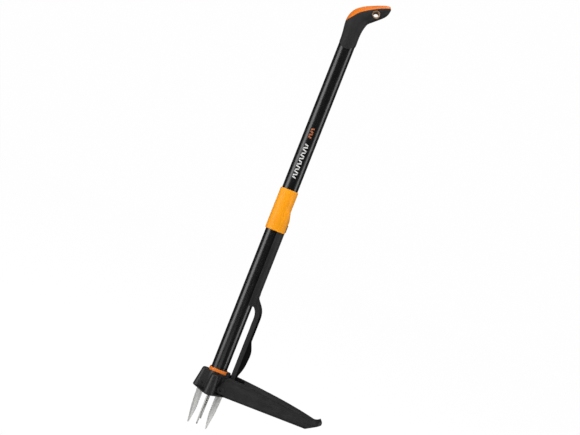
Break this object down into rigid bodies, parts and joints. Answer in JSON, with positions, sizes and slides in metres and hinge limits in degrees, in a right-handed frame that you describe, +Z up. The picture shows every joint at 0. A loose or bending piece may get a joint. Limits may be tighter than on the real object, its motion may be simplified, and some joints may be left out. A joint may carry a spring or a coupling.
{
  "type": "stand up weeder",
  "caption": "Long handled stand up weeder with a foot pedal, an orange ejector sleeve and serrated claws that close when the handle is tilted.",
  "frame": {"origin": "on the tube's axis at the underside of the head, where the claws leave it", "axes": "+Z up along the tube to the handle, +X towards the pedal's toe and the handle's nose"},
  "size_m": [0.2922, 0.0834, 1.0018],
  "materials": {
    "tube_paint": "satin gloss black powder coat",
    "orange_plastic": "satin orange plastic",
    "eyelet_plastic": "glossy brown plastic",
    "sleeve_plastic": "satin yellow orange plastic",
    "grip_rubber": "soft matte black",
    "black_plastic": "fine textured black",
    "white_plastic": "natural acetal",
    "zinc_steel": "zinc plated",
    "pin_steel": "oiled steel",
    "stainless_steel": "brushed stainless",
    "felt": "grey felt"
  },
  "bodies": {
    "shaft": {"shaft_tube": "tube_paint", "handle_core": "orange_plastic", "handle_grip": "grip_rubber", "hang_eyelet": "eyelet_plastic", "handle_screw": "zinc_steel", "head_housing": "black_plastic", "head_base_plate": "black_plastic", "head_screws": "zinc_steel", "head_collar": "orange_plastic", "claw_pivot_pins": "pin_steel", "pedal_hinge_pin": "pin_steel", "rod_guide": "white_plastic"},
    "ejector": {"ejector_sleeve": "sleeve_plastic", "link_arm": "black_plastic", "sleeve_cross_pin": "pin_steel", "actuator_rod": "zinc_steel", "rod_glide": "white_plastic", "crosshead": "white_plastic", "drive_pins": "pin_steel", "arm_pin": "pin_steel", "glide_rings": "felt"},
    "pedal": {"foot_pedal": "black_plastic", "hinge_bushes": "white_plastic"},
    "claw_right_body": {"claw_right": "stainless_steel"},
    "claw_left_body": {"claw_left": "stainless_steel"},
    "claw_front_body": {"claw_front": "stainless_steel"},
    "claw_rear_body": {"claw_rear": "stainless_steel"}
  },
  "joints": [
    {"name": "pedal_tilt", "type": "hinge", "parent": "shaft", "child": "pedal", "pos_m": [0.022, 0, 0.014], "axis": [0, -1, 0], "range_deg": [0, 26]},
    {"name": "ejector_slide", "type": "slide", "parent": "shaft", "child": "ejector", "axis": [0, 0, 1], "range_m": [0, 0.0114]},
    {"name": "claw_right_close", "type": "hinge", "parent": "shaft", "child": "claw_right_body", "pos_m": [0.022, 0, 0.014], "axis": [0, 1, 0], "range_deg": [0, 10.5]},
    {"name": "claw_left_close", "type": "hinge", "parent": "shaft", "child": "claw_left_body", "pos_m": [-0.022, 0, 0.014], "axis": [0, -1, 0], "range_deg": [0, 10.5]},
    {"name": "claw_front_close", "type": "hinge", "parent": "shaft", "child": "claw_front_body", "pos_m": [0, -0.022, 0.014], "axis": [1, 0, 0], "range_deg": [0, 10.5]},
    {"name": "claw_rear_close", "type": "hinge", "parent": "shaft", "child": "claw_rear_body", "pos_m": [0, 0.022, 0.014], "axis": [-1, 0, 0], "range_deg": [0, 10.5]}
  ],
  "couplings": [
    {"joint": "ejector_slide", "follows": "pedal_tilt", "m_per_rad": 0.025},
    {"joint": "claw_right_close", "follows": "pedal_tilt", "ratio": 0.4},
    {"joint": "claw_left_close", "follows": "pedal_tilt", "ratio": 0.4},
    {"joint": "claw_front_close", "follows": "pedal_tilt", "ratio": 0.4},
    {"joint": "claw_rear_close", "follows": "pedal_tilt", "ratio": 0.4}
  ]
}
